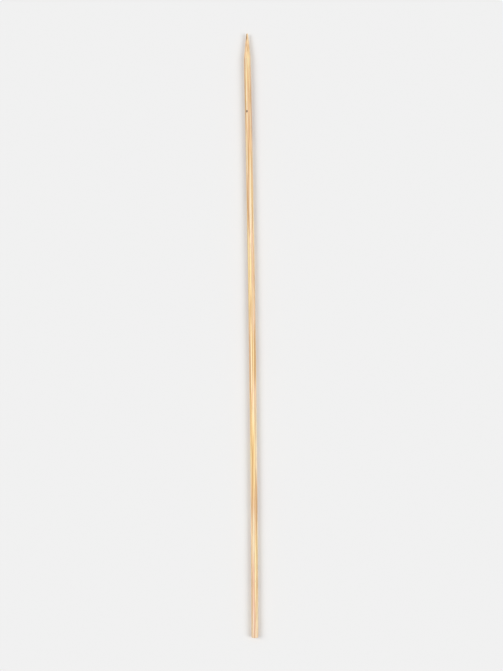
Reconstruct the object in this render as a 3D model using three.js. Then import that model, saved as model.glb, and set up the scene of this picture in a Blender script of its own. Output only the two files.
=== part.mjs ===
// Wooden skewer, one round bamboo stick lying on its side.
// Millimetres, +Z up. The stick runs along Y with its point towards +Y, and its underside is at z = 0.
import * as THREE from 'three';

// Sizes of the stick
const length = 250;
const diameter = 2.8;
const bowHeight = 0.6;         // the middle of the stick lies this far towards +X of the line through its ends
const buttBreak = 0.15;        // small rounded edge round the square-cut end

// Sizes of the ground point
const pointLength = 10.5;
const tipRadius = 0.35;
const tipOffset = 0.2;         // the tip lies this far towards +X of the centre line
const shoulderLength = 3;      // the cone runs into the shaft over this length

// Steps of the faceted surface
const sides = 32;
const shaftSteps = 14;
const breakSteps = 3;
const shoulderSteps = 6;
const coneSteps = 5;
const tipSteps = 5;

const radius = diameter / 2;
const buttY = -length / 2;
const tipY = length / 2;
const centreZ = radius * Math.cos(Math.PI / sides);   // a facet, not an edge, is underneath

// Section of half the stick, as (radius, distance from the butt), from the middle of the butt to the tip.
// The cone is the line that leaves the round tip at a tangent and meets the shaft at the end of the point.
function coneAngle() {
  let angle = 0;
  for (let i = 0; i < 40; i++) {
    const reach = pointLength - tipRadius * (1 - Math.sin(angle));
    angle = Math.atan((radius - tipRadius * Math.cos(angle)) / reach);
  }
  return angle;
}

const angle = coneAngle();
const tipCentre = length - tipRadius;
const coneEndR = tipRadius * Math.cos(angle);
const coneEndL = tipCentre + tipRadius * Math.sin(angle);
const shoulderMeet = length - pointLength;            // where the cone's line meets the shaft's line
const shoulderStart = shoulderMeet - shoulderLength / 2;
const shoulderEndL = shoulderMeet + (shoulderLength / 2) * Math.cos(angle);
const shoulderEndR = radius - (shoulderLength / 2) * Math.sin(angle);

const section = [[0, 0]];
for (let i = 0; i <= breakSteps; i++) {
  const a = (Math.PI / 2) * (i / breakSteps);
  section.push([radius - buttBreak + buttBreak * Math.sin(a), buttBreak - buttBreak * Math.cos(a)]);
}
for (let i = 1; i <= shaftSteps; i++) {
  section.push([radius, buttBreak + (shoulderStart - buttBreak) * (i / shaftSteps)]);
}
for (let i = 1; i <= shoulderSteps; i++) {
  // a curve from the shaft to the cone that is tangent to both
  const t = i / shoulderSteps;
  const a = (1 - t) * (1 - t);
  const b = 2 * t * (1 - t);
  const c = t * t;
  section.push([a * radius + b * radius + c * shoulderEndR,
    a * shoulderStart + b * shoulderMeet + c * shoulderEndL]);
}
for (let i = 1; i <= coneSteps; i++) {
  const t = i / coneSteps;
  section.push([shoulderEndR + (coneEndR - shoulderEndR) * t, shoulderEndL + (coneEndL - shoulderEndL) * t]);
}
for (let i = 1; i <= tipSteps; i++) {
  const a = angle + (Math.PI / 2 - angle) * (i / tipSteps);
  section.push([i === tipSteps ? 0 : tipRadius * Math.cos(a), tipCentre + tipRadius * Math.sin(a)]);
}

const profile = section.map(([r, l]) => new THREE.Vector2(r, buttY + l));
const stick = new THREE.LatheGeometry(profile, sides, Math.PI / sides, Math.PI * 2);

// The bow lies flat and is shared out so that the box's middle stays at x = 0. The tip leans off the centre line.
function centreX(y) {
  const along = y / (length / 2);
  const inPoint = Math.max(0, (y - (tipY - pointLength)) / pointLength);
  return bowHeight / 2 - bowHeight * along * along + tipOffset * inPoint;
}

const position = stick.getAttribute('position');
for (let i = 0; i < position.count; i++) {
  position.setX(i, position.getX(i) + centreX(position.getY(i)));
  position.setZ(i, position.getZ(i) + centreZ);
}
stick.computeVertexNormals();

const bamboo = new THREE.MeshStandardMaterial({ color: 0xf3d1a7, roughness: 0.62, metalness: 0 });

const skewer = new THREE.Mesh(stick, bamboo);
skewer.name = 'skewer';

const group = new THREE.Group();
group.name = 'wooden_skewer';
group.add(skewer);
export default group;
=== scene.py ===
# A single bamboo skewer lying on a pale floor, seen from straight above.
# Lengths are in metres, the stick runs along Y with its point towards +Y, and Z is up.
import math

import bmesh
import bpy
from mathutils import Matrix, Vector, noise


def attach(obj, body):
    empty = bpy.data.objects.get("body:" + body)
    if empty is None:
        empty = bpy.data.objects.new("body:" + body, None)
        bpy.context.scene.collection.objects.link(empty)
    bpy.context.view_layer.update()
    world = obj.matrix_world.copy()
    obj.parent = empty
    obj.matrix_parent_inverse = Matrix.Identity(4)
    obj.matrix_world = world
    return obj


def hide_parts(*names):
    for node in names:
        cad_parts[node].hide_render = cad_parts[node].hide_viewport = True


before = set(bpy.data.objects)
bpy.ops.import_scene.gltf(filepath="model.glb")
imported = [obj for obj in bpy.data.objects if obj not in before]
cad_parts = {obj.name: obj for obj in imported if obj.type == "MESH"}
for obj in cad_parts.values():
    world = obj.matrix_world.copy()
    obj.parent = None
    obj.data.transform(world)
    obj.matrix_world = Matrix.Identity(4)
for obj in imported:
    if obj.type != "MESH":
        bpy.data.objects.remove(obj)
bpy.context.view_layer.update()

MM = 0.001


def srgb(red, green, blue):
    """A colour given in 0 to 255 as Blender's linear colour."""
    def one(value):
        value = value / 255
        return value / 12.92 if value <= 0.04045 else ((value + 0.055) / 1.055) ** 2.4
    return (one(red), one(green), one(blue), 1.0)


# Sizes of the stick, the same as in the CAD source
LENGTH = 250 * MM
RADIUS = 1.4 * MM
BOW_HEIGHT = 0.6 * MM
BUTT_BREAK = 0.15 * MM
POINT_LENGTH = 10.5 * MM
TIP_RADIUS = 0.35 * MM
TIP_OFFSET = 0.2 * MM
SHOULDER_LENGTH = 3 * MM

BUTT_Y = -LENGTH / 2
TIP_Y = LENGTH / 2
SHOULDER_Y = TIP_Y - POINT_LENGTH

# Steps of the mesh and of the search for the cone's slope, and the distances under which two points become
# one and a point counts as on the axis
SIDES = 96
SHAFT_RINGS = 270
SHOULDER_RINGS = 10
CONE_RINGS = 26
TIP_RINGS = 7
BREAK_RINGS = 4
BUTT_RINGS = 9
SLOPE_STEPS = 40
MERGE_DISTANCE = 0.002 * MM
AXIS_RADIUS = 0.02 * MM

# Fibre ridges: their height, width and length, the shares of the large and the small ones, how much finer the
# small ones are, and how much of both the grinding takes off
FIBRE_RELIEF = 0.014 * MM
FIBRE_PITCH = 0.42 * MM
FIBRE_RUN = 34 * MM
COARSE_RIDGES, FINE_RIDGES = 0.75, 0.35
FINER_ACROSS, FINER_ALONG = 2.3, 2
FIBRES_GROUND_OFF = 0.55

# Slight flats and waists of the drawn stick
FLAT_RELIEF = 0.022 * MM
FLAT_RUN = 90 * MM
FLATS_ROUND = 1.2
WAIST_RELIEF = 0.018 * MM
WAIST_RUN = 46 * MM

# The ground point: where grinding starts and is in full, its shallow flats, and the torn end of the tip
GROUND_FROM = SHOULDER_Y - 0.6 * MM
GROUND_TO = SHOULDER_Y + 1.2 * MM
GROUND_FACETS = 9
GROUND_RELIEF = 0.035 * MM
FACET_WANDER = 0.14
FACET_RUN = 4 * MM
FACET_LEVEL = 0.6
TORN_FROM = TIP_Y - 2.2 * MM
TORN_TO = TIP_Y - 0.2 * MM
TIP_RELIEF = 0.045 * MM
TORN_PITCH = 0.3 * MM
TORN_RUN = 0.5 * MM
TORN_CORE = 0.15 * MM

# The cut butt: how far its fibres stand proud, their fineness and their shares, and the rim where they are
# torn most
CUT_RELIEF = 0.045 * MM
CUT_FIBRE_SCALE = 1.6
CUT_FIBRES, CUT_LEVEL, CUT_RIM = 0.5, 0.25, 0.7
RIM_FROM = RADIUS - 0.45 * MM
RIM_TO = RADIUS - 0.1 * MM

# Where in the endless noise each of these is read
FINE_RIDGES_AT = 9
FLATS_AT = 3
WAIST_AT = (17.0, 5.0)
FACETS_AT = (2.0, 8.0)
RAGGED_AT = 4.0

# Where the ground point's finish starts, with a ragged edge, and where the butt's does
POINT_FINISH_Y = SHOULDER_Y + 0.2 * MM
RAGGED_EDGE = 0.35 * MM
RAGGED_ROUND = 3
BUTT_FINISH_Y = BUTT_Y + 0.4 * BUTT_BREAK

# The material numbers of those two finishes; the shaft's is 0
POINT, BUTT = 1, 2

# The map that baked textures are laid on: the side is cut into lengths that lie in rows, with the butt
# beside them
BAKE_MAP = "OFBake"
MAP_ROWS = 5
MAP_GAP = 0.006
MAP_SLACK = 0.02
BUTT_SHARE = 0.09
BUTT_FILL = 0.46

# Colours
CREAM = srgb(253, 217, 163)
STRAW = srgb(247, 206, 149)
BLUSH = srgb(247, 205, 164)
PALE = srgb(255, 237, 189)
FIBRE_TAN = srgb(208, 159, 101)
STREAK_TAN = srgb(208, 163, 109)
PITH = srgb(232, 193, 140)
BUNDLE_BROWN = srgb(150, 108, 66)
SPECK_BROWN = srgb(112, 90, 72)
DARK_TIP_MARK = srgb(132, 90, 48)
BACKDROP_GREY = srgb(240, 240, 240)
FLOOR_GREY = srgb(237, 237, 237)

# Tints that the wood is multiplied by: the first two take turns all along, the third is for the length
# towards the point and the last for the butt end
GOLDEN = (1.0, 0.985, 0.85, 1.0)
ASHEN = (1.0, 1.0, 1.11, 1.0)
GREYER = (0.935, 0.915, 0.975, 1.0)
COOLER = (1.0, 1.02, 1.14, 1.0)

# Where the last two tints start and are in full, and how much of the dull bands the butt end loses
GREYER_FROM, GREYER_TO = 20 * MM, 95 * MM
PALER_FROM, PALER_TO = -80 * MM, -115 * MM
PALER_SHARE = 0.55

# Where in the endless pattern of the wood this stick is cut
GRAIN_START = (1.0, 6.0, 8.0)

# How far the grain wanders sideways, and the cells of that wandering per metre across and along
DRIFT = 0.7 * MM
DRIFT_ACROSS, DRIFT_ALONG = 60.0, 8.0

# The wood's noise fields: cells per metre across and along, then the detail and roughness of the noise
TONE = (320.0, 42.0, 2.0, 0.5)
WARMTH = (1000.0, 36.0, 2.0, 0.5)
HUE = (750.0, 30.0, 2.0, 0.5)
STRIPE = (1900.0, 32.0, 1.0, 0.5)
STREAK = (3500.0, 38.0, 3.0, 0.6)
FINE = (9000.0, 45.0, 2.0, 0.6)
FLECK = (6500.0, 150.0, 2.0, 0.5)
BROKEN = (1500.0, 60.0, 2.0, 0.6)
PORES = (5200.0, 420.0, 1.0, 0.5)
SCRATCHES = (220.0, 6500.0, 2.0, 0.6)
FLUFF = (6000.0, 900.0, 2.0, 0.6)
PITS = (9000.0, 9000.0, 2.0, 0.6)

# Between which values each field fades in
TONE_STOPS = (0.26, 0.46, 0.72)
WARMTH_FADE = (0.46, 0.66)
HUE_FADE = (0.38, 0.62)
PALE_FADE = (0.525, 0.59)
DULL_FADE = (0.40, 0.48)
STREAK_FADE = (0.53, 0.65)
FINE_FADE = (0.50, 0.72)
FLECK_FADE = (0.60, 0.68)
BROKEN_FADE = (0.42, 0.62)
PORE_FADE = (0.74, 0.82)
SCRATCH_FADE = (0.40, 0.70)
PIT_FADE = (0.56, 0.72)

# How strongly each mark is laid over the wood
DULL_STRENGTH = 0.82
FINE_STRENGTH = 0.42
FLECK_STRENGTH = 0.28
PORE_STRENGTH = 0.5
SPECK_STRENGTH = 0.94
DARK_STRENGTH = 0.9
PIT_STRENGTH = 0.35

# The fibre bundles: how many per metre, how loosely they are placed and where their edge fades. One share of
# them shows more and more towards the outer side of the stalk, +X, and the other here and there along it
BUNDLES_PER_METRE = 2300.0
BUNDLES_LOOSE = 0.9
BUNDLE_EDGE = (0.12, 0.30)
OUTER_SIDE = (-1.8 * MM, 1.4 * MM)
OUTER_BUNDLES, BROKEN_BUNDLES = 0.35, 0.65

# How much of the streaks and bundles shows on the shaft, on the ground point and on the butt
SHAFT_STREAKS, SHAFT_BUNDLES = 0.80, 0.50
POINT_STREAKS, POINT_BUNDLES = 0.65, 0.60
BUTT_STREAKS, BUTT_BUNDLES = 0.55, 0.70

# The silky shaft: its roughness between and on the fibres, and the height and strength of its bump
SHAFT_ROUGHNESS = (0.36, 0.56)
SHAFT_BUMP, SHAFT_BUMP_STRENGTH = 0.045 * MM, 0.9
FINE_HEIGHT, PORE_DEPTH = 0.9, 0.8

# The speck on the upper side near the point: its place, the scale of its outline, and its ragged edge
SPECK_FROM_TIP = 32.3 * MM
SPECK_ACROSS = -0.6 * MM
SPECK_STRETCH = (2150.0, 1750.0, 2150.0)
SPECK_NOISE, SPECK_RAGGED = 1.6, 1.1
SPECK_EDGE = (1.05, 1.75)

# The finish of the ground point: dry dust all over it, worn paler towards the tip, and its small bumps
DUST_EVEN, DUST_SCRATCHED = 0.26, 0.22
WORN_FROM, WORN_TO = TIP_Y - 6.0 * MM, TIP_Y - 1.5 * MM
WORN_SHARE = 0.45
POINT_ROUGHNESS = 0.78
SCRATCH_HEIGHT = 0.8
POINT_BUMP, POINT_BUMP_STRENGTH = 0.03 * MM, 0.6

# The dark brown mark at the upper left of the tip: it starts a little below the tip's end, frays at its edges
# and fades out down the cone
DARK_EDGE = -0.10 * MM
DARK_EDGE_FADE = 0.10 * MM
DARK_UNDER = 0.02 * MM
DARK_UNDER_FADE = 0.08 * MM
DARK_FRAY = 0.5 * MM
DARK_LENGTH = 4.2 * MM
DARK_FULL = 0.35
DARK_START = 0.35 * MM

# The finish of the sawn butt: pale pith over the wood, dots where the bundles end, and the saw's marks
PITH_SHARE = 0.55
DOT_STRENGTH = 0.75
SAW_TURN_DEG = 24
SAW_CELLS = (700.0, 700.0, 8500.0)
BUTT_ROUGHNESS = 0.85
BUTT_BUMP, BUTT_BUMP_STRENGTH = 0.04 * MM, 0.7

WOOD_IOR = 1.45

# Floor, lamps and room
FLOOR_HALF = 8.0
FLOOR_ROUGHNESS = 0.95
LAMP_SPREAD_DEG = 36
LEFT_PLACE, LEFT_STRENGTH = (-0.74, 0.16, 0.78), 1.24
RIGHT_PLACE, RIGHT_STRENGTH = (0.74, -0.10, 0.78), 1.22
ROOM_LIGHT = 0.473

# The photo's picture, the stick in it, and the lens
PICTURE_HEIGHT = 671
STICK_PIXELS = 604
LEAN_DEG = 0.78
LENS_MM = 100
SENSOR_MM = 36
CLIP_END = 10.0


# Shape of the stick

def centre_x(y):
    """Where the centre line lies across the table. The bow lies flat, and the tip leans off the line."""
    along = y / (LENGTH / 2)
    in_point = max(0.0, (y - SHOULDER_Y) / POINT_LENGTH)
    return BOW_HEIGHT / 2 - BOW_HEIGHT * along * along + TIP_OFFSET * in_point


def cone_angle():
    """The slope of the ground cone, which leaves the round tip at a tangent."""
    angle = 0.0
    for _ in range(SLOPE_STEPS):
        reach = POINT_LENGTH - TIP_RADIUS * (1 - math.sin(angle))
        angle = math.atan((RADIUS - TIP_RADIUS * math.cos(angle)) / reach)
    return angle


def half_section():
    """Half the stick's section as (radius, y) from the middle of the butt to the tip."""
    points = []
    flat = RADIUS - BUTT_BREAK
    for i in range(BUTT_RINGS):
        points.append((flat * i / BUTT_RINGS, BUTT_Y))
    for i in range(BREAK_RINGS + 1):
        turn = math.pi / 2 * i / BREAK_RINGS
        points.append((flat + BUTT_BREAK * math.sin(turn), BUTT_Y + BUTT_BREAK * (1 - math.cos(turn))))
    angle = cone_angle()
    half = SHOULDER_LENGTH / 2
    start_y, end_y = SHOULDER_Y - half, SHOULDER_Y + half * math.cos(angle)
    end_r = RADIUS - half * math.sin(angle)
    shaft_y = BUTT_Y + BUTT_BREAK
    for i in range(1, SHAFT_RINGS + 1):
        points.append((RADIUS, shaft_y + (start_y - shaft_y) * i / SHAFT_RINGS))
    for i in range(1, SHOULDER_RINGS + 1):
        t = i / SHOULDER_RINGS
        a, b, c = (1 - t) ** 2, 2 * t * (1 - t), t * t
        points.append(((a + b) * RADIUS + c * end_r, a * start_y + b * SHOULDER_Y + c * end_y))
    tip_centre = TIP_Y - TIP_RADIUS
    cone_r, cone_y = TIP_RADIUS * math.cos(angle), tip_centre + TIP_RADIUS * math.sin(angle)
    for i in range(1, CONE_RINGS + 1):
        t = i / CONE_RINGS
        points.append((end_r + (cone_r - end_r) * t, end_y + (cone_y - end_y) * t))
    for i in range(1, TIP_RINGS + 1):
        turn = angle + (math.pi / 2 - angle) * i / TIP_RINGS
        radius = 0.0 if i == TIP_RINGS else TIP_RADIUS * math.cos(turn)
        points.append((radius, tip_centre + TIP_RADIUS * math.sin(turn)))
    return points


def smooth(low, high, value):
    """0 under low, 1 over high, and an easy curve between them."""
    t = min(1.0, max(0.0, (value - low) / (high - low)))
    return t * t * (3 - 2 * t)


def fibres(x, y, z):
    """Height of the long fibre bundles at a point of the straight stick, from -1 to 1."""
    coarse = noise.noise(Vector((x / FIBRE_PITCH, y / FIBRE_RUN, z / FIBRE_PITCH)))
    fine = noise.noise(Vector((x * FINER_ACROSS / FIBRE_PITCH + FINE_RIDGES_AT, y * FINER_ALONG / FIBRE_RUN,
                               z * FINER_ACROSS / FIBRE_PITCH)))
    return COARSE_RIDGES * coarse + FINE_RIDGES * fine


def relief(direction, radius, y):
    """How far a point of the stick's side moves outwards."""
    x, z = direction.x * radius, direction.z * radius
    ground = smooth(GROUND_FROM, GROUND_TO, y)
    lift = FIBRE_RELIEF * fibres(x, y, z) * (1 - FIBRES_GROUND_OFF * ground)
    flats = noise.noise(Vector((direction.x * FLATS_ROUND, y / FLAT_RUN + FLATS_AT,
                                direction.z * FLATS_ROUND)))
    lift += FLAT_RELIEF * flats * (1 - ground)
    lift += WAIST_RELIEF * noise.noise(Vector((WAIST_AT[0], y / WAIST_RUN, WAIST_AT[1]))) * (1 - ground)
    # belt grinding leaves shallow flats round the point
    wander = noise.noise(Vector((y / FACET_RUN, *FACETS_AT)))
    turn = math.atan2(direction.z, direction.x) + FACET_WANDER * wander
    facet = abs(math.cos(turn * GROUND_FACETS / 2)) - FACET_LEVEL
    off_tip = 1 - smooth(TORN_FROM, TORN_TO, y)
    lift += GROUND_RELIEF * facet * ground * off_tip
    # the tip itself is a little torn
    torn = noise.noise(Vector((x / TORN_PITCH, y / TORN_RUN, z / TORN_PITCH)))
    lift += TIP_RELIEF * torn * (1 - off_tip) * smooth(0.0, TORN_CORE, radius)
    return lift


def lay_map(bm, grain):
    """Lays the stick out flat: its side in rows, with the seam underneath, and the round butt beside them."""
    layer = bm.loops.layers.uv.new(BAKE_MAP)
    row_length = LENGTH / MAP_ROWS
    row_height = 1.0 / MAP_ROWS
    side_width = 1.0 - BUTT_SHARE
    for face in bm.faces:
        corners = [(loop, loop.vert[grain]) for loop in face.loops]
        middle = sum((place for _, place in corners), Vector()) / len(corners)
        if face.material_index == BUTT:
            for loop, place in corners:
                loop[layer].uv = (side_width + BUTT_SHARE / 2 + place.x / RADIUS * BUTT_SHARE * BUTT_FILL,
                                  0.5 + place.z / RADIUS * BUTT_SHARE * BUTT_FILL)
            continue
        row = min(MAP_ROWS - 1, int((middle.y - BUTT_Y) / row_length))
        facing = math.atan2(middle.x, middle.z)
        for loop, place in corners:
            on_axis = math.hypot(place.x, place.z) <= 0.5 * AXIS_RADIUS
            turn = facing if on_axis else math.atan2(place.x, place.z)
            if turn - facing > math.pi:
                turn -= math.tau
            elif facing - turn > math.pi:
                turn += math.tau
            along = ((place.y - BUTT_Y) / row_length - row + MAP_SLACK) / (1 + 2 * MAP_SLACK)
            round_it = turn / math.tau + 0.5
            loop[layer].uv = (MAP_GAP + along * (side_width - 3 * MAP_GAP),
                              row_height * row + MAP_GAP / 2 + round_it * (row_height - MAP_GAP))


def settle_faces(bm):
    """Puts the faces in the order of their points. Merging leaves them in another order on each run."""
    bm.verts.index_update()
    count = len(bm.verts)

    def order(face):
        first, second, third = sorted(v.index for v in face.verts)[:3]
        return (first * count + second) * count + third

    bm.faces.sort(key=order)


def stick_mesh():
    """The whole stick: its section is spun round, then given its fibres, its bow and its place."""
    bm = bmesh.new()
    points = half_section()
    last = bmesh.ops.create_vert(bm, co=(points[0][0], points[0][1], 0))["vert"][0]
    for radius, y in points[1:]:
        last = bmesh.ops.extrude_vert_indiv(bm, verts=[last])["verts"][0]
        last.co = (radius, y, 0)
    bmesh.ops.spin(bm, geom=bm.verts[:] + bm.edges[:], cent=(0, 0, 0), axis=(0, 1, 0), dvec=(0, 0, 0),
                   angle=math.tau, steps=SIDES, use_merge=True)
    bmesh.ops.remove_doubles(bm, verts=bm.verts[:], dist=MERGE_DISTANCE)

    # each point remembers its place in the straight stick, which the wood's pattern reads
    grain = bm.verts.layers.float_vector.new("grain")
    for v in bm.verts:
        x, y, z = v.co
        v[grain] = (x, y, z)
        radius = math.hypot(x, z)
        on_butt = y <= BUTT_Y + 0.5 * BUTT_BREAK
        if on_butt:
            # the cut leaves the hard fibre bundles standing a little proud of the soft wood
            torn = fibres(x * CUT_FIBRE_SCALE, 0.0, z * CUT_FIBRE_SCALE)
            rim = smooth(RIM_FROM, RIM_TO, radius)
            v.co.y -= CUT_RELIEF * (CUT_FIBRES * torn + CUT_LEVEL) * (1 + CUT_RIM * rim * torn)
        elif radius > AXIS_RADIUS:
            out = Vector((x / radius, 0, z / radius))
            v.co += out * relief(out, radius, y)
        v.co.x += centre_x(y)
    bmesh.ops.translate(bm, vec=(0, 0, -min(v.co.z for v in bm.verts)), verts=bm.verts[:])
    bmesh.ops.recalc_face_normals(bm, faces=bm.faces[:])
    settle_faces(bm)

    for face in bm.faces:
        face.smooth = True
        middle = face.calc_center_median()
        turn = math.atan2(middle.z - RADIUS, middle.x - centre_x(middle.y))
        round_it = Vector((math.cos(turn), math.sin(turn), 0)) * RAGGED_ROUND
        ragged = noise.noise(round_it + Vector((0, 0, RAGGED_AT)))
        if middle.y > POINT_FINISH_Y + RAGGED_EDGE * ragged:
            face.material_index = POINT
        elif middle.y < BUTT_FINISH_Y:
            face.material_index = BUTT
    lay_map(bm, grain)
    mesh = bpy.data.meshes.new("skewer_stick")
    bm.to_mesh(mesh)
    bm.free()
    return mesh


# Small helpers for materials

def node(tree, kind, **values):
    """A new node with its sockets set by name, or by number where the name is i and a digit."""
    made = tree.nodes.new(kind)
    for key, value in values.items():
        if key in made.bl_rna.properties:
            setattr(made, key, value)
        elif key[0] == "i" and key[1:].isdigit():
            made.inputs[int(key[1:])].default_value = value
        else:
            made.inputs[key].default_value = value
    return made


def wire(tree, start, end):
    tree.links.new(start, end)


def feed(tree, socket, value):
    """Gives a socket a plain value, or wires another socket to it."""
    if isinstance(value, (int, float, tuple)):
        socket.default_value = value
    else:
        wire(tree, value, socket)


def worked_out(tree, operation, a, b):
    """A Math node whose two inputs are sockets or numbers."""
    made = node(tree, "ShaderNodeMath", operation=operation)
    feed(tree, made.inputs[0], a)
    feed(tree, made.inputs[1], b)
    return made.outputs[0]


def plus(tree, a, b):
    return worked_out(tree, "ADD", a, b)


def minus(tree, a, b):
    return worked_out(tree, "SUBTRACT", a, b)


def times(tree, a, b):
    return worked_out(tree, "MULTIPLY", a, b)


def over(tree, value, low, high):
    """0 where the value is under low, 1 where it is over high."""
    made = node(tree, "ShaderNodeMapRange", interpolation_type="SMOOTHSTEP")
    made.inputs["From Min"].default_value = low
    made.inputs["From Max"].default_value = high
    wire(tree, value, made.inputs["Value"])
    return made.outputs["Result"]


def under(tree, value, low, high):
    """1 where the value is under low, 0 where it is over high."""
    return minus(tree, 1.0, over(tree, value, low, high))


def ramp(tree, value, stops):
    """A colour ramp from a value, with stops of (position, colour)."""
    made = tree.nodes.new("ShaderNodeValToRGB")
    elements = made.color_ramp.elements
    while len(elements) < len(stops):
        elements.new(0.5)
    for element, (position, colour) in zip(elements, stops):
        element.position = position
        element.color = colour
    wire(tree, value, made.inputs["Fac"])
    return made.outputs["Color"]


def mix(tree, share, a, b, blend="MIX"):
    """A mix of two colours, each a socket or a colour."""
    made = node(tree, "ShaderNodeMix", data_type="RGBA", blend_type=blend)
    feed(tree, made.inputs[0], share)
    feed(tree, made.inputs[6], a)
    feed(tree, made.inputs[7], b)
    return made.outputs[2]


def grain_place(tree):
    """The place in the straight stick, which every pattern of the wood reads."""
    return node(tree, "ShaderNodeAttribute", attribute_name="grain").outputs["Vector"]


def split(tree, vector):
    made = node(tree, "ShaderNodeSeparateXYZ")
    wire(tree, vector, made.inputs[0])
    return made.outputs


def scaled(tree, vector, across, along):
    """The grain coordinate times one scale across the stick and another along it."""
    made = node(tree, "ShaderNodeMapping", Location=GRAIN_START, Scale=(across, along, across))
    wire(tree, vector, made.inputs["Vector"])
    return made.outputs["Vector"]


def noise_field(tree, vector, across, along, detail, rough):
    """Noise with cells 1/across wide and 1/along long."""
    made = node(tree, "ShaderNodeTexNoise", Scale=1.0, Detail=detail, Roughness=rough)
    wire(tree, scaled(tree, vector, across, along), made.inputs["Vector"])
    return made.outputs["Fac"]


def drifting(tree, grain):
    """The grain coordinate, wandering a little from the stick's own line."""
    drift = node(tree, "ShaderNodeTexNoise", Scale=1.0, Detail=1.0)
    wire(tree, scaled(tree, grain, DRIFT_ACROSS, DRIFT_ALONG), drift.inputs["Vector"])
    centred = node(tree, "ShaderNodeVectorMath", operation="SUBTRACT", i1=(0.5, 0.5, 0.5))
    wire(tree, drift.outputs["Color"], centred.inputs[0])
    pulled = node(tree, "ShaderNodeVectorMath", operation="MULTIPLY", i1=(DRIFT, 0.0, DRIFT))
    wire(tree, centred.outputs[0], pulled.inputs[0])
    moved = node(tree, "ShaderNodeVectorMath", operation="ADD")
    wire(tree, grain, moved.inputs[0])
    wire(tree, pulled.outputs[0], moved.inputs[1])
    return moved.outputs[0]


def bundle_mask(tree, path):
    """1 in a fibre bundle. Bundles are columns along Y, so their pattern is flat across the stick."""
    place = split(tree, path)
    flat = node(tree, "ShaderNodeCombineXYZ")
    wire(tree, place["X"], flat.inputs["X"])
    wire(tree, place["Z"], flat.inputs["Y"])
    cells = node(tree, "ShaderNodeTexVoronoi", voronoi_dimensions="2D", feature="F1",
                 Scale=BUNDLES_PER_METRE, Randomness=BUNDLES_LOOSE)
    wire(tree, flat.outputs[0], cells.inputs["Vector"])
    dot = under(tree, cells.outputs["Distance"], *BUNDLE_EDGE)
    outer = times(tree, over(tree, place["X"], *OUTER_SIDE), OUTER_BUNDLES)
    broken = over(tree, noise_field(tree, path, *BROKEN), *BROKEN_FADE)
    return times(tree, dot, plus(tree, outer, times(tree, broken, BROKEN_BUNDLES)))


def bamboo_group():
    """The wood itself, as a solid: long pale cells, darker fibre bundles along Y, and slow changes of tone.

    The same bundles show as lines on the side, as long tears on the ground point and as dots on the butt."""
    tree = bpy.data.node_groups.new("bamboo wood", "ShaderNodeTree")
    for name, value in (("Streaks", SHAFT_STREAKS), ("Bundles", SHAFT_BUNDLES)):
        tree.interface.new_socket(name, in_out="INPUT", socket_type="NodeSocketFloat").default_value = value
    tree.interface.new_socket("Color", in_out="OUTPUT", socket_type="NodeSocketColor")
    for name in ("Fibre", "Bundle", "Fine"):
        tree.interface.new_socket(name, in_out="OUTPUT", socket_type="NodeSocketFloat")
    given = tree.nodes.new("NodeGroupInput").outputs
    out = tree.nodes.new("NodeGroupOutput").inputs

    path = drifting(tree, grain_place(tree))
    along = split(tree, path)["Y"]
    stripe = noise_field(tree, path, *STRIPE)
    streak = noise_field(tree, path, *STREAK)
    fine = noise_field(tree, path, *FINE)
    bundle = bundle_mask(tree, path)

    # the slow tone of the wood, with pale and dull stripes in it; the butt end has fewer dull ones
    tones = zip(TONE_STOPS, (STRAW, CREAM, CREAM))
    base = ramp(tree, noise_field(tree, path, *TONE), list(tones))
    base = mix(tree, over(tree, noise_field(tree, path, *WARMTH), *WARMTH_FADE), base, BLUSH)
    base = mix(tree, over(tree, stripe, *PALE_FADE), base, PALE)
    paler = under(tree, along, PALER_TO, PALER_FROM)
    dull = times(tree, under(tree, stripe, *DULL_FADE), DULL_STRENGTH)
    dull = times(tree, dull, minus(tree, 1.0, times(tree, paler, PALER_SHARE)))
    base = mix(tree, dull, base, FIBRE_TAN)

    # streaks, fine cells, flecks and bundles
    base = mix(tree, times(tree, over(tree, streak, *STREAK_FADE), given["Streaks"]), base, STREAK_TAN)
    base = mix(tree, times(tree, over(tree, fine, *FINE_FADE), FINE_STRENGTH), base, STREAK_TAN)
    fleck = over(tree, noise_field(tree, path, *FLECK), *FLECK_FADE)
    base = mix(tree, times(tree, fleck, FLECK_STRENGTH), base, BUNDLE_BROWN)
    base = mix(tree, times(tree, bundle, given["Bundles"]), base, BUNDLE_BROWN)

    # tints
    tint = mix(tree, over(tree, noise_field(tree, path, *HUE), *HUE_FADE), GOLDEN, ASHEN)
    base = mix(tree, 1.0, base, tint, "MULTIPLY")
    base = mix(tree, over(tree, along, GREYER_FROM, GREYER_TO), base, GREYER, "MULTIPLY")
    base = mix(tree, paler, base, COOLER, "MULTIPLY")
    wire(tree, base, out["Color"])
    wire(tree, streak, out["Fibre"])
    wire(tree, bundle, out["Bundle"])
    wire(tree, fine, out["Fine"])
    return tree


def start_material(name):
    """A new material with its node tree and its shader."""
    material = bpy.data.materials.new(name)
    material.use_nodes = True
    tree = material.node_tree
    shader = tree.nodes["Principled BSDF"]
    shader.inputs["Metallic"].default_value = 0.0
    shader.inputs["IOR"].default_value = WOOD_IOR
    return material, tree, shader


def place_wood(tree, wood, streaks, bundles):
    """The wood group in a material, with how strongly its streaks and bundles show there."""
    return node(tree, "ShaderNodeGroup", node_tree=wood, Streaks=streaks, Bundles=bundles).outputs


def bump(tree, height, distance, strength, shader):
    made = node(tree, "ShaderNodeBump", Strength=strength, Distance=distance)
    wire(tree, height, made.inputs["Height"])
    wire(tree, made.outputs["Normal"], shader.inputs["Normal"])


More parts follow.
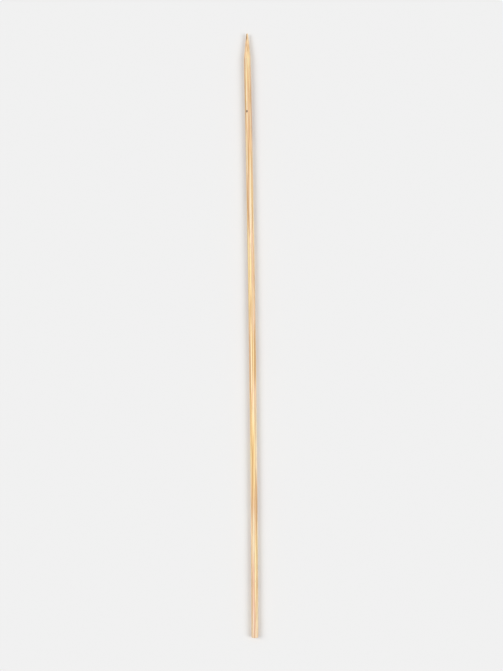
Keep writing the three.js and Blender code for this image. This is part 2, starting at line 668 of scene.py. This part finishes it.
def speck_mask(tree, grain):
    """1 in the speck, which has a ragged edge."""
    spot = (SPECK_ACROSS, TIP_Y - SPECK_FROM_TIP, math.sqrt(RADIUS ** 2 - SPECK_ACROSS ** 2))
    shift = node(tree, "ShaderNodeMapping", vector_type="POINT", Scale=SPECK_STRETCH,
                 Location=tuple(-a * b for a, b in zip(spot, SPECK_STRETCH)))
    wire(tree, grain, shift.inputs["Vector"])
    ragged = node(tree, "ShaderNodeTexNoise", Scale=SPECK_NOISE, Detail=3.0)
    wire(tree, shift.outputs["Vector"], ragged.inputs["Vector"])
    reach = node(tree, "ShaderNodeVectorMath", operation="LENGTH")
    wire(tree, shift.outputs["Vector"], reach.inputs[0])
    edge = plus(tree, reach.outputs["Value"], times(tree, ragged.outputs["Fac"], SPECK_RAGGED))
    return under(tree, edge, *SPECK_EDGE)


def shaft_material(wood):
    """The drawn and tumbled side of the stick: silky along the grain, with one grey-brown speck."""
    material, tree, shader = start_material("bamboo_shaft")
    wood_out = place_wood(tree, wood, SHAFT_STREAKS, SHAFT_BUNDLES)
    grain = grain_place(tree)
    speck = times(tree, speck_mask(tree, grain), SPECK_STRENGTH)
    colour = mix(tree, speck, wood_out["Color"], SPECK_BROWN)

    # short dark pores between the fibres
    pores = over(tree, noise_field(tree, grain, *PORES), *PORE_FADE)
    colour = mix(tree, times(tree, pores, PORE_STRENGTH), colour, BUNDLE_BROWN)
    wire(tree, colour, shader.inputs["Base Color"])

    rough = node(tree, "ShaderNodeMapRange")
    rough.inputs["To Min"].default_value, rough.inputs["To Max"].default_value = SHAFT_ROUGHNESS
    wire(tree, wood_out["Fibre"], rough.inputs["Value"])
    wire(tree, rough.outputs["Result"], shader.inputs["Roughness"])

    height = plus(tree, wood_out["Fibre"], times(tree, wood_out["Fine"], FINE_HEIGHT))
    height = minus(tree, height, times(tree, pores, PORE_DEPTH))
    bump(tree, height, SHAFT_BUMP, SHAFT_BUMP_STRENGTH, shader)
    return material


def dark_tip_mark_mask(tree, place, fluff):
    """1 in the dark brown mark at the upper left of the tip, with frayed edges."""
    fray = times(tree, minus(tree, fluff, 0.5), DARK_FRAY)
    across, height = plus(tree, place["X"], fray), plus(tree, place["Z"], fray)
    to_left = under(tree, across, DARK_EDGE - DARK_EDGE_FADE, DARK_EDGE + DARK_EDGE_FADE)
    above = over(tree, height, DARK_UNDER - DARK_UNDER_FADE, DARK_UNDER + DARK_UNDER_FADE)
    to_tip = over(tree, place["Y"], TIP_Y - DARK_LENGTH, TIP_Y - DARK_FULL * DARK_LENGTH)
    below_end = under(tree, place["Y"], TIP_Y - DARK_START, TIP_Y)
    return times(tree, times(tree, to_left, above), times(tree, to_tip, below_end))


def point_material(wood):
    """The ground point: a dry, slightly paler surface with scratches that run round it."""
    material, tree, shader = start_material("bamboo_ground_point")
    wood_out = place_wood(tree, wood, POINT_STREAKS, POINT_BUNDLES)
    grain = grain_place(tree)
    place = split(tree, grain)
    scratches = noise_field(tree, grain, *SCRATCHES)
    fluff = noise_field(tree, grain, *FLUFF)
    worn = times(tree, over(tree, place["Y"], WORN_FROM, WORN_TO), WORN_SHARE)
    dust = plus(tree, times(tree, over(tree, scratches, *SCRATCH_FADE), DUST_SCRATCHED), DUST_EVEN)
    colour = mix(tree, plus(tree, dust, worn), wood_out["Color"], CREAM)
    # a dark brown mark laid on the upper left of the tip, close to its end
    dark = times(tree, dark_tip_mark_mask(tree, place, fluff), DARK_STRENGTH)
    wire(tree, mix(tree, dark, colour, DARK_TIP_MARK), shader.inputs["Base Color"])
    shader.inputs["Roughness"].default_value = POINT_ROUGHNESS
    height = plus(tree, times(tree, scratches, SCRATCH_HEIGHT), plus(tree, fluff, wood_out["Fibre"]))
    bump(tree, height, POINT_BUMP, POINT_BUMP_STRENGTH, shader)
    return material


def butt_material(wood):
    """The sawn butt: bundles seen end on, as dark dots in pale pith, with the saw's marks across."""
    material, tree, shader = start_material("bamboo_end_grain")
    wood_out = place_wood(tree, wood, BUTT_STREAKS, BUTT_BUNDLES)
    grain = grain_place(tree)
    pits = noise_field(tree, grain, *PITS)
    saw = node(tree, "ShaderNodeMapping", Rotation=(0.0, 0.0, math.radians(SAW_TURN_DEG)), Scale=SAW_CELLS)
    wire(tree, grain, saw.inputs["Vector"])
    marks = node(tree, "ShaderNodeTexNoise", Scale=1.0, Detail=2.0)
    wire(tree, saw.outputs["Vector"], marks.inputs["Vector"])
    colour = mix(tree, PITH_SHARE, wood_out["Color"], PITH)
    colour = mix(tree, times(tree, wood_out["Bundle"], DOT_STRENGTH), colour, BUNDLE_BROWN)
    colour = mix(tree, times(tree, over(tree, pits, *PIT_FADE), PIT_STRENGTH), colour, BUNDLE_BROWN)
    wire(tree, colour, shader.inputs["Base Color"])
    shader.inputs["Roughness"].default_value = BUTT_ROUGHNESS
    height = plus(tree, plus(tree, pits, marks.outputs["Fac"]), wood_out["Bundle"])
    bump(tree, height, BUTT_BUMP, BUTT_BUMP_STRENGTH, shader)
    return material


def build_skewer():
    """The stick, which stands for the CAD node and keeps its size."""
    wood = bamboo_group()
    stick = bpy.data.objects.new("skewer_stick", stick_mesh())
    bpy.context.scene.collection.objects.link(stick)
    for material in (shaft_material(wood), point_material(wood), butt_material(wood)):
        stick.data.materials.append(material)
    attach(stick, "root")
    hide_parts("skewer")


# Floor, light and camera

def build_floor():
    """A plain pale floor that the stick lies on."""
    bm = bmesh.new()
    bmesh.ops.create_grid(bm, x_segments=1, y_segments=1, size=FLOOR_HALF)
    mesh = bpy.data.meshes.new("floor")
    bm.to_mesh(mesh)
    bm.free()
    floor = bpy.data.objects.new("floor", mesh)
    bpy.context.scene.collection.objects.link(floor)
    material, _, shader = start_material("floor_paper")
    shader.inputs["Base Color"].default_value = FLOOR_GREY
    shader.inputs["Roughness"].default_value = FLOOR_ROUGHNESS
    shader.inputs["Specular IOR Level"].default_value = 0.0
    mesh.materials.append(material)


def soft_sun(name, place, strength):
    """A wide soft light from the side that place is on, the same all over the floor."""
    light = bpy.data.lights.new(name, "SUN")
    light.angle = math.radians(LAMP_SPREAD_DEG)
    light.energy = strength
    lamp = bpy.data.objects.new(name, light)
    lamp.location = place
    lamp.rotation_euler = (-Vector(place)).to_track_quat("-Z", "Y").to_euler()
    bpy.context.scene.collection.objects.link(lamp)


def build_light():
    """Two broad studio lamps, left and right, and a bright room. A colour renders about as it is written."""
    soft_sun("left_lamp", LEFT_PLACE, LEFT_STRENGTH)
    soft_sun("right_lamp", RIGHT_PLACE, RIGHT_STRENGTH)
    world = bpy.data.worlds.new("studio")
    bpy.context.scene.world = world
    world.use_nodes = True
    tree = world.node_tree
    light = tree.nodes["Background"]
    light.inputs["Color"].default_value = (1.0, 1.0, 1.0, 1.0)
    light.inputs["Strength"].default_value = ROOM_LIGHT
    seen = node(tree, "ShaderNodeBackground", Color=BACKDROP_GREY, Strength=1.0)
    # the camera, gloss and glass see the pale backdrop, and all else is lit by the plain room
    path = node(tree, "ShaderNodeLightPath").outputs
    sees = worked_out(tree, "MAXIMUM", path["Is Camera Ray"], path["Is Glossy Ray"])
    sees = worked_out(tree, "MAXIMUM", sees, path["Is Transmission Ray"])
    chosen = node(tree, "ShaderNodeMixShader")
    wire(tree, sees, chosen.inputs[0])
    wire(tree, light.outputs[0], chosen.inputs[1])
    wire(tree, seen.outputs[0], chosen.inputs[2])
    wire(tree, chosen.outputs[0], tree.nodes["World Output"].inputs["Surface"])


def build_camera():
    """A long lens straight above, turned by the stick's small lean in the photo."""
    camera = bpy.data.cameras.new("camera")
    camera.lens = LENS_MM
    camera.sensor_width = SENSOR_MM
    camera.clip_end = CLIP_END
    seen_height = LENGTH * PICTURE_HEIGHT / STICK_PIXELS
    distance = seen_height * LENS_MM / SENSOR_MM
    eye = bpy.data.objects.new("camera", camera)
    eye.location = (0.0, 0.0, RADIUS + distance)
    eye.rotation_euler = (0.0, 0.0, math.radians(-LEAN_DEG))
    bpy.context.scene.collection.objects.link(eye)
    bpy.context.scene.camera = eye


build_skewer()
build_floor()
build_light()
build_camera()
bpy.context.scene.view_settings.view_transform = "Standard"
